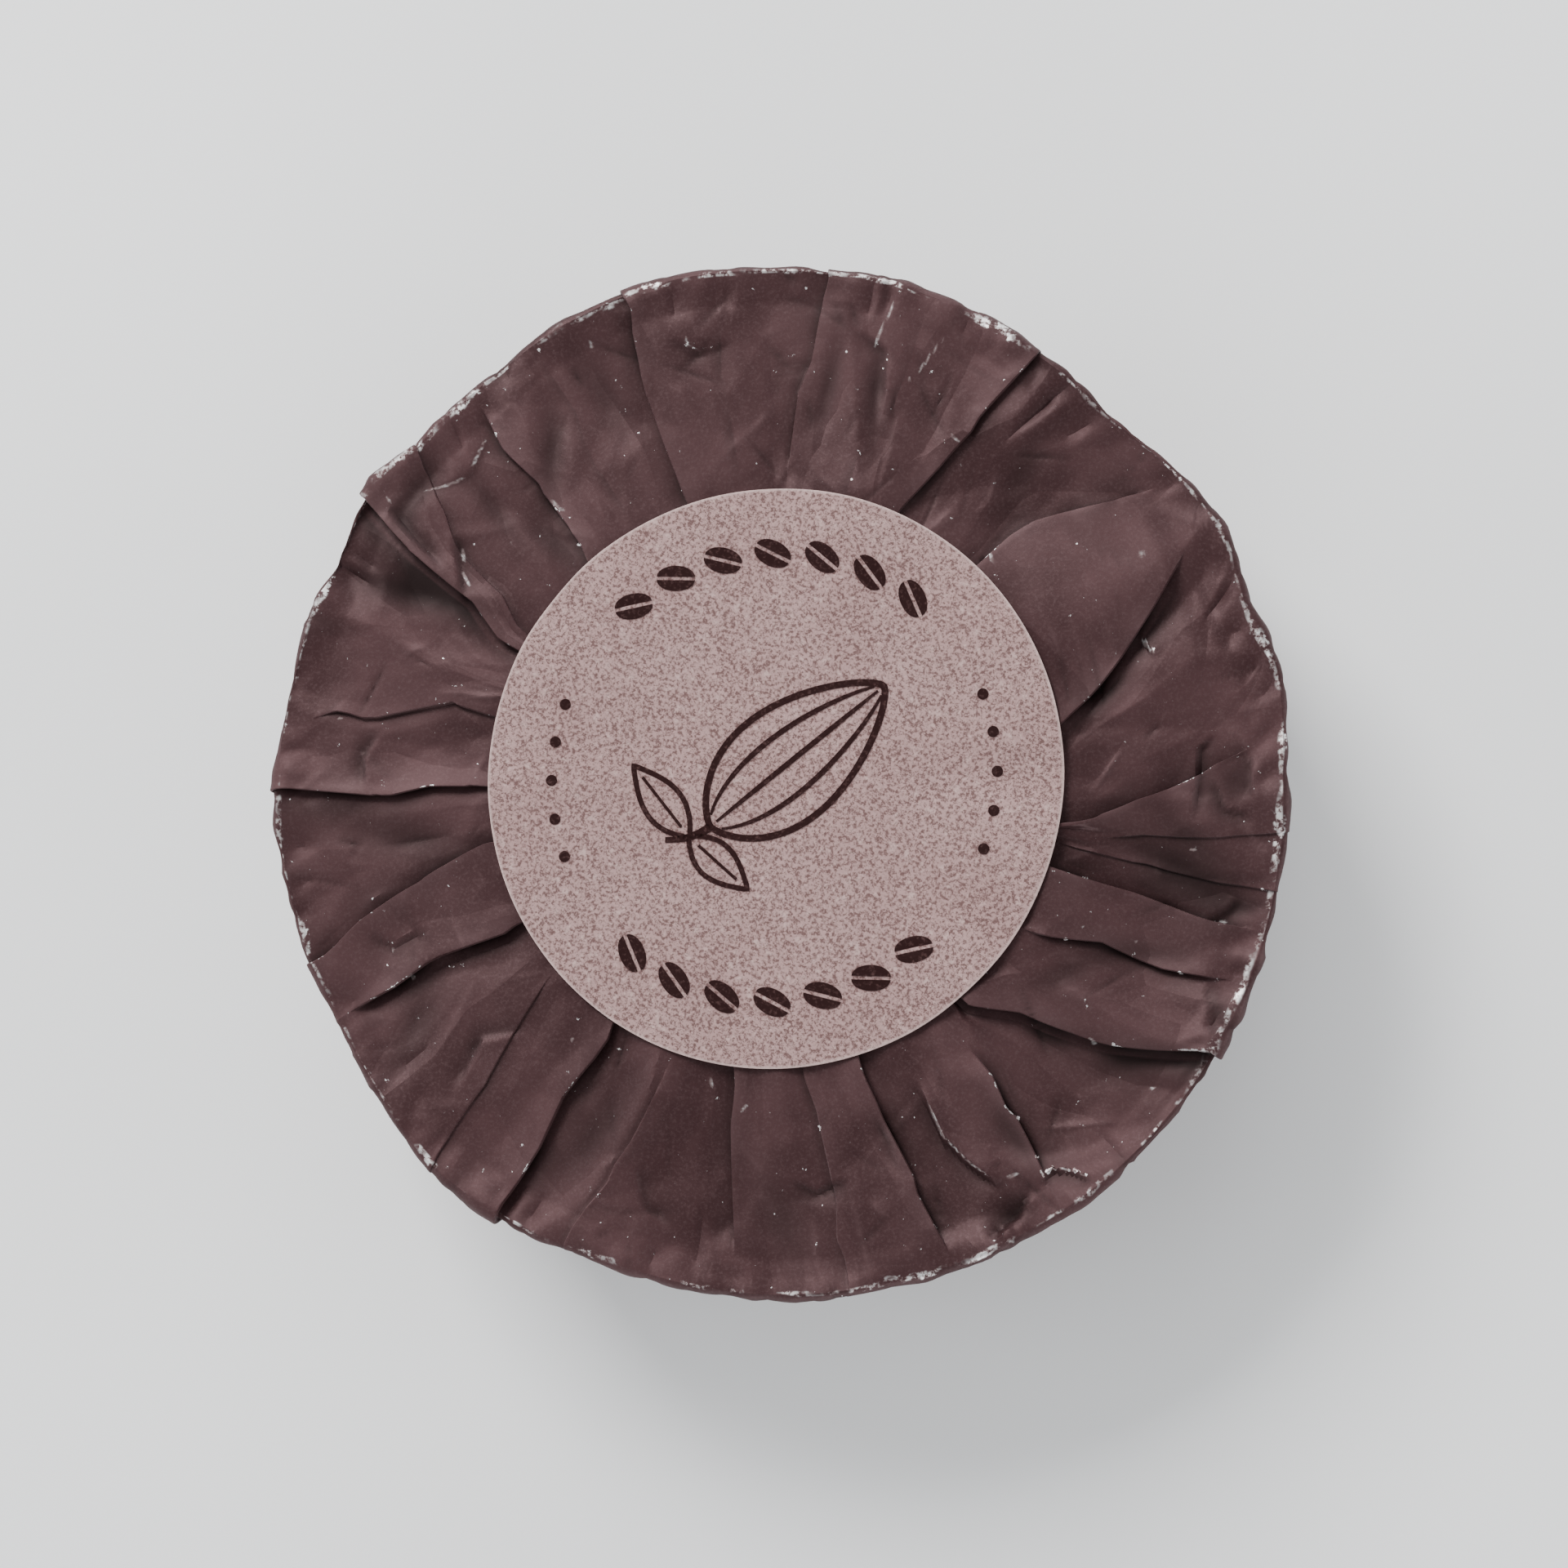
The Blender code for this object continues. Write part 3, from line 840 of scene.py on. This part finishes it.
def brown_foil():
    """Satin brown lacquer on foil, with fine creases between flat facets.

    Its folds, creases and dents are painted with shade, and its crests and ridges with light. It is
    worn to bare silver in flecks along the rim and on the edges of the folds.
    """
    material, tree, shader = new_material("brown_foil")
    place = object_place(tree)
    cloud = speckle(tree, place, 260, 3)
    grain = speckle(tree, place, 8000, 2, 0.7)
    patches = speckle(tree, place, 560, 3, 0.6)
    flecks = speckle(tree, place, 3300, 3, 0.65)

    dark, pale, dust = (0.034, 0.0148, 0.016), (0.052, 0.0245, 0.0262), (0.085, 0.052, 0.054)
    # Colours of the painted light on crests and ridges, and of the painted shade in folds, creases and
    # dents
    painted_light_colour, painted_shade_colour = (0.09, 0.052, 0.054), (0.01, 0.005, 0.005)
    lacquer = blend(tree, ramp(tree, cloud, 0.35, 0.68), dark, pale)
    lacquer = blend(tree, ramp(tree, grain, 0.42, 0.8, 0, 0.4), lacquer, dust)
    # Painted light on crests and ridges, then painted shade in folds, creases, dents and flute valleys
    painted_light = calculate(tree, "MULTIPLY", mark(tree, "painted_light"), 0.75, clamp=True)
    painted_shade = calculate(tree, "MULTIPLY", mark(tree, "painted_shade"), 0.8, clamp=True)
    lacquer = blend(tree, painted_shade, blend(tree, painted_light, lacquer, painted_light_colour), painted_shade_colour)

    at_rim = mark(tree, "rim")
    faint = ramp(tree, speckle(tree, place, 900, 2, 0.6), 0.4, 0.6, 0.35, 0.9)
    patched, flecked = ramp(tree, patches, 0.42, 0.54), ramp(tree, flecks, 0.42, 0.54)
    thread = combine(tree, "MULTIPLY", ramp(tree, at_rim, 0.6, 0.95), faint, patched, flecked)
    patched, flecked = ramp(tree, patches, 0.58, 0.66), ramp(tree, flecks, 0.48, 0.58)
    beads = combine(tree, "MULTIPLY", ramp(tree, at_rim, 0.25, 0.6), patched, flecked)
    edge = calculate(tree, "MULTIPLY", mark(tree, "worn"), ramp(tree, patches, 0.46, 0.62))
    edge = ramp(tree, calculate(tree, "MULTIPLY_ADD", edge, 0.2, flecks), 0.71, 0.77, 0, 0.85)
    glint = calculate(tree, "MULTIPLY_ADD", mark(tree, "glint"), 0.55, flecks)
    glint = ramp(tree, glint, 0.88, 0.96)
    scratch = calculate(tree, "MULTIPLY_ADD", flecks, 0.3, mark(tree, "stroke"))
    scratch = ramp(tree, scratch, 0.65, 1.15, 0, 0.42)
    stray = ramp(tree, speckle(tree, place, 1700), 0.83, 0.86, 0, 0.4)
    stray = calculate(tree, "MULTIPLY", stray, ramp(tree, patches, 0.55, 0.63))
    bare = combine(tree, "MAXIMUM", thread, beads, edge, stray, glint, scratch)
    silver = blend(tree, ramp(tree, flecks, 0.46, 0.61), (0.33, 0.265, 0.26), (0.66, 0.645, 0.64))

    crumpled = mark(tree, "crumpled")
    facets = facet_normal(tree, mark(tree, "sheet", "Vector"), crumpled)
    pinch = speckle(tree, place, 420, settings={"noise_type": "RIDGED_MULTIFRACTAL"})
    pinch = calculate(tree, "MULTIPLY", pinch, crumpled)
    wrinkle = calculate(tree, "MULTIPLY_ADD", grain, 0.25, speckle(tree, place, 1500, 4, 0.55))
    normal = bumped(tree, pinch, 0.35, 0.12 * MM, Normal=facets)
    normal = bumped(tree, wrinkle, 0.3, 0.05 * MM, Normal=normal)
    feed_named(
        tree,
        shader,
        Base_Color=blend(tree, bare, lacquer, silver),
        Metallic=ramp(tree, bare, 0, 1, 0.25, 0.9),
        Roughness=ramp(tree, cloud, 0.3, 0.7, 0.46, 0.58),
        Specular_IOR_Level=0.32,
        Specular_Tint=(0.62, 0.5, 0.5, 1),
        Normal=normal,
    )
    return material


foil_points, foil_marks = foil_surface()
foil_wrapper = closed_grid("foil_wrapper", foil_points, (0, 0, SEAT_HEIGHT), (0, 0, 0), foil_marks)
foil_wrapper.data.set_sharp_from_angle(angle=SHARP_ANGLE)
foil_wrapper.data.materials.append(brown_foil())
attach(foil_wrapper, "root")
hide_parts("wrapped_disc")

# The label
# A round sticker of uncoated, speckled pinkish paper that holds the pleats down. It is stuck on
# last, so near its edge it rises and dips over the pleats under it.
LABEL_THICKNESS = 0.1 * MM
LABEL_GLUE = 0.03 * MM
# Width of the painted highlight along the label's edge
EDGE_HIGHLIGHT_WIDTH = 0.14 * MM
TOPS_STEP = 3


def degrees_round(x, y):
    """Angle of points round the disc, from 0 to 360."""
    return np.degrees(np.arctan2(y, x)) % 360


def pleat_tops():
    """Height of the foil under the label's edge every TOPS_STEP degrees: the highest near, smoothed."""
    x, y, z = foil_points.reshape(-1, 3).T
    away = np.hypot(x, y)
    near = (away > LABEL_RADIUS - 1.6 * MM) & (away < LABEL_RADIUS + 0.1 * MM) & (z > BACK_HEIGHT / 2)
    tops = np.full(360 // TOPS_STEP, BACK_HEIGHT)
    np.maximum.at(tops, (degrees_round(x[near], y[near]) / TOPS_STEP).astype(int), z[near])
    tops = np.max([np.roll(tops, shift) for shift in (-1, 0, 1)], axis=0)
    shares = ((-2, 0.1), (-1, 0.2), (0, 0.4), (1, 0.2), (2, 0.1))
    return sum(np.roll(tops, shift) * share for shift, share in shares)


def label_level(x, y):
    """Height of the label's top: flat in the middle, and draped over the pleats near its edge."""
    at = (np.arange(len(foil_tops)) + 0.5) * TOPS_STEP
    edge = np.interp(degrees_round(x, y), at, foil_tops, period=360)
    draped = mix(SEAT_HEIGHT, edge, fade(np.hypot(x, y), 4.5 * MM, LABEL_RADIUS - 0.8 * MM))
    return draped + LABEL_GLUE + LABEL_THICKNESS + waves(x, y, 6, 7 * MM, 21) * 0.01 * MM


def label_surface():
    """The sticker from the middle of its top, out over its cut edge and back below, as a closed sheet."""
    angle = np.linspace(0, 2 * pi, 240, endpoint=False)[None, :]
    top = line(0, LABEL_RADIUS - 0.02 * MM, 60)
    edge = LABEL_RADIUS + np.array((-0.005, 0, 0, -0.02)) * MM
    under = line(LABEL_RADIUS - 0.02 * MM, 0, 12)[:-1]
    radius = np.concatenate((top, edge, under))[:, None]
    drop = np.concatenate((np.zeros(len(top)), (0.05, 0.2, 0.8, 1), np.ones(len(under))))[:, None]
    x = radius * np.cos(angle)
    y = radius * np.sin(angle)
    return np.stack((x, y, label_level(x, y) - drop * LABEL_THICKNESS), axis=-1)


def speckled_paper():
    """Uncoated pinkish beige paper, thick with fine dark specks and a few pale fibres; its edge has a
    painted highlight.
    """
    material, tree, shader = new_material("speckled_paper")
    place = object_place(tree)
    flat = vector(tree, "MULTIPLY", place, (1, 1, 0))
    away = put(tree, "VectorMath", {"operation": "LENGTH"}, Vector=flat).outputs["Value"]
    askew = put(tree, "Mapping", Vector=place, Rotation=(0.5, 0.3, 0.6)).outputs[0]
    fine = speckle(tree, askew, 7000, 4, 0.8)
    darker, lighter = (0.315, 0.199, 0.19), (0.342, 0.221, 0.211)
    paper = blend(tree, ramp(tree, speckle(tree, askew, 300), 0.3, 0.7), darker, lighter)
    paper = blend(tree, ramp(tree, fine, 0.55, 0.41, 0, 0.95), paper, (0.1, 0.052, 0.049))
    fibres = ramp(tree, speckle(tree, askew, 2600, 3, 0.7), 0.56, 0.7, 0, 0.6)
    paper = blend(tree, fibres, paper, (0.47, 0.33, 0.31))
    # Painted highlight: a paler ring along the label's edge
    edge_highlight = ramp(tree, away, LABEL_RADIUS - EDGE_HIGHLIGHT_WIDTH, LABEL_RADIUS, 0, 0.7)
    feed_named(
        tree,
        shader,
        Base_Color=blend(tree, edge_highlight, paper, (0.5, 0.37, 0.35)),
        Roughness=0.8,
        Specular_IOR_Level=0.25,
        Normal=bumped(tree, fine, 0.3, 0.03 * MM),
    )
    return material


foil_tops = pleat_tops()
label_top = (0, 0, float(label_level(0.0, 0.0)))
label_foot = (0, 0, label_top[2] - LABEL_THICKNESS)
label_paper = closed_grid("label_paper", label_surface(), label_top, label_foot)
label_paper.data.materials.append(speckled_paper())
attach(label_paper, "root")
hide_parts("label")

# The label's print
# Plain line drawing in dark brown ink: a cocoa pod in the middle, and beans and dots round it. Each
# stroke is a thin strip of ink on the paper, and follows the paper's height.
INK_RISE = 0.03 * MM
INK_DEPTH = 0.05 * MM
POD_TURN = radians(38)
POD_LENGTH = 8.6
POD_WIDTH = 4.4
POD_SHIFT = (0.95, 0.75)
STEM = (-POD_LENGTH / 2 - 0.9, 0.2)
RING = 8.7
DOT = 0.22


def ink_height(x, y):
    """Heights of the ink's top and of its underside, which is sunk in the paper."""
    top = label_level(x, y) + INK_RISE
    return top, top - INK_DEPTH


def stroke(path, width, closed=False):
    """A closed flat strip along a path of (x, y) points in mm, as vertices and faces.

    Its section is a rectangle, width across and INK_DEPTH thick, carried square to the path.
    """
    path = np.asarray(path) * MM
    if closed:
        way = np.roll(path, -1, axis=0) - np.roll(path, 1, axis=0)
    else:
        way = np.gradient(path, axis=0)
    way /= np.hypot(*way.T)[:, None]
    side = np.column_stack((-way[:, 1], way[:, 0])) * (np.broadcast_to(width, len(path)) * MM / 2)[:, None]
    left, right = path + side, path - side
    left_top, left_low = ink_height(*left.T)
    right_top, right_low = ink_height(*right.T)
    corners = ((left, left_top), (left, left_low), (right, right_low), (right, right_top))
    ring = np.stack([np.column_stack(corner) for corner in corners], axis=1)
    count = len(path)
    index = np.arange(count * 4).reshape(count, 4)
    following = np.roll(index, -1, axis=0)
    if not closed:
        index, following = index[:-1], following[:-1]
    faces = np.stack((index, np.roll(index, -1, 1), np.roll(following, -1, 1), following), axis=-1)
    faces = faces.reshape(-1, 4).tolist()
    if not closed:
        faces += [[3, 2, 1, 0], [count * 4 - corner for corner in (4, 3, 2, 1)]]
    return ring.reshape(-1, 3), faces


def blot(outline):
    """A closed flat patch of ink inside an outline of (x, y) points in mm, as fans about its middle."""
    x, y = np.vstack((outline, np.mean(outline, axis=0))).T * MM
    top, low = ink_height(x, y)
    vertices = np.vstack((np.column_stack((x, y, top)), np.column_stack((x, y, low))))
    count = len(outline)
    index = np.arange(count)
    following = np.roll(index, -1)
    middle = np.full(count, count)
    below = count + 1
    walls = np.column_stack((index, index + below, following + below, following))
    over = np.column_stack((middle, index, following))
    under = np.column_stack((middle, following, index)) + below
    return vertices, walls.tolist() + over.tolist() + under.tolist()


def turned(points, turn):
    """Points (x, y) turned about the origin."""
    return points @ np.array(((cos(turn), sin(turn)), (-sin(turn), cos(turn))))


def mirrored(along, across):
    """A closed outline: points to one side of a line, and back along its other side."""
    back = np.column_stack((along, -across))[::-1][1:-1]
    return np.vstack((np.column_stack((along, across)), back))


def pod_strokes():
    """The pod's outline and ribs: y = k w (1 - t^2)^0.7 (1 - 0.25 t) along its length, and its stalk."""
    t = -np.cos(np.linspace(0, pi, 60))
    along = t * POD_LENGTH / 2
    across = POD_WIDTH / 2 * (1 - t * t) ** 0.7 * (1 - 0.25 * t)
    shapes = [stroke(turned(mirrored(along, across), POD_TURN) + POD_SHIFT, 0.26, closed=True)]
    for rib in (-0.52, 0, 0.52):
        path = np.column_stack((along, across * rib))[7:-7]
        thin = 0.09 + 0.12 * np.sin(np.linspace(0, pi, len(path)))
        shapes.append(stroke(turned(path, POD_TURN) + POD_SHIFT, thin))
    s = np.linspace(0, 1, 16)
    stalk = np.column_stack((-POD_LENGTH / 2 - 1.7 * s, 0.7 * s**2))
    shapes.append(stroke(turned(stalk, POD_TURN) + POD_SHIFT, 0.34 - 0.12 * s))
    return shapes


def leaf_strokes():
    """Two leaves at the stalk, each a pointed loop y = w sin(pi t^0.85) with a vein down its middle."""
    shapes = []
    t = np.linspace(0, 1, 26)
    stem = turned(np.array(STEM), POD_TURN) + POD_SHIFT
    for way, length, width in ((radians(128), 3.6, 0.75), (radians(-42), 3.1, 0.7)):
        loop = mirrored(length * t, width * np.sin(pi * t**0.85))
        shapes.append(stroke(turned(loop, way) + stem, 0.2, closed=True))
        vein = np.column_stack((0.5 + (length - 1.1) * t, 0 * t))
        shapes.append(stroke(turned(vein, way) + stem, 0.12))
    return shapes


def ring_places(middles, each_side, pitch):
    """Angles in radians and places in mm on the label's ring, pitch degrees apart about each middle."""
    for middle in middles:
        for step in range(-each_side, each_side + 1):
            angle = radians(middle + step * pitch)
            yield angle, (RING * cos(angle), RING * sin(angle))


def ring_blots():
    """Beans over the top and the bottom of the label's ring, and dots at its left and right.

    A bean is 1.5 mm long and 1 mm wide: two half ovals with a bare slit of 0.14 mm between them.
    """
    shapes = []
    t = np.linspace(0, pi, 14)
    half = np.column_stack((0.75 * np.cos(t), 0.07 + 0.43 * np.sin(t)))
    for angle, place in ring_places((90, 270), 3, 13):
        both = turned(half, angle + radians(62))
        shapes += [blot(both + place), blot(place - both)]
    t = np.linspace(0, 2 * pi, 14, endpoint=False)
    dot = DOT * np.column_stack((np.cos(t), np.sin(t)))
    shapes += [blot(dot + place) for _, place in ring_places((0, 180), 2, 10)]
    return shapes


def brown_ink():
    """Dark brown ink, a little thin and uneven where the paper's fibres show through."""
    material, tree, shader = new_material("brown_ink")
    thin = ramp(tree, speckle(tree, object_place(tree), 6500, 3, 0.7), 0.5, 0.72, 0, 0.35)
    ink = blend(tree, thin, (0.017, 0.006, 0.006), (0.12, 0.065, 0.062))
    feed_named(tree, shader, Base_Color=ink, Roughness=0.7, Specular_IOR_Level=0.05)
    return material


print_vertices, print_faces = [], []
for vertices, faces in pod_strokes() + leaf_strokes() + ring_blots():
    print_faces += [[len(print_vertices) + corner for corner in face] for face in faces]
    print_vertices += vertices.tolist()
label_print = new_piece("label_print", print_vertices, print_faces)
label_print.data.materials.append(brown_ink())
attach(label_print, "root")

# The floor, lights and camera
# A plain pale table and soft studio light. The camera looks down on the disc, a little from the
# lower right, with the top of the disc up in the picture.
FLOOR_SIZE = 3.6
LOW_DISTANCE = 2.5
LOW_HEIGHT = 0.45
LOW_SIZE = 1.43
VIEW_TILT = radians(12)
VIEW_SIDE = radians(-35)
VIEW_DISTANCE = 0.145
AIM = Vector((0, 0, 0.007))

# Low lights round the disc: direction in degrees and power in watts
LOW_LIGHTS = ((0, 40), (90, 48), (180, 40), (270, 48))

bpy.ops.mesh.primitive_plane_add(size=FLOOR_SIZE)
table_top = bpy.context.object
table_top.name = "table_top"
table_material, table_tree, table_shader = new_material("pale_table")
feed_named(table_tree, table_shader, Base_Color=(0.88, 0.885, 0.89, 1), Roughness=0.85)
table_top.data.materials.append(table_material)

world = bpy.data.worlds.new("studio")
world.use_nodes = True
sky = world.node_tree
direction = put(sky, "TexCoord").outputs["Generated"]
height = put(sky, "SeparateXYZ", Vector=direction).outputs["Z"]
glow = ramp(sky, height, 0.02, 0.3, 1.35, 0.68)
feed_named(sky, sky.nodes["Background"], Color=(0.9, 0.92, 0.94, 1), Strength=glow)
bpy.context.scene.world = world


def softbox(name, place, size, power, colour):
    """A square area light that faces the disc."""
    light = bpy.data.lights.new(name, "AREA")
    light.size = size
    light.energy = power
    light.color = colour
    lamp = bpy.data.objects.new(name, light)
    lamp.location = place
    lamp.visible_camera = False
    lamp.rotation_euler = (Vector(place) * -1).to_track_quat("-Z", "Y").to_euler()
    bpy.context.scene.collection.objects.link(lamp)


softbox("key", (-0.18, 0.3, 0.3), 0.2, 2.9, (1, 0.99, 0.98))
for side, power in LOW_LIGHTS:
    low = (LOW_DISTANCE * cos(radians(side)), LOW_DISTANCE * sin(radians(side)), LOW_HEIGHT)
    softbox(f"low_{side}", low, LOW_SIZE, power, (0.97, 0.985, 1))

camera_data = bpy.data.cameras.new("camera")
camera_data.lens = 85
camera_data.sensor_width = 36
camera_data.clip_start = 0.01
camera_data.clip_end = 20
camera = bpy.data.objects.new("camera", camera_data)
back = Vector((sin(VIEW_TILT) * cos(VIEW_SIDE), sin(VIEW_TILT) * sin(VIEW_SIDE), cos(VIEW_TILT)))
right = Vector((0, 1, 0)).cross(back).normalized()
camera.rotation_euler = Matrix((right, back.cross(right), back)).transposed().to_euler()
camera.location = AIM + back * VIEW_DISTANCE
bpy.context.scene.collection.objects.link(camera)
bpy.context.scene.camera = camera
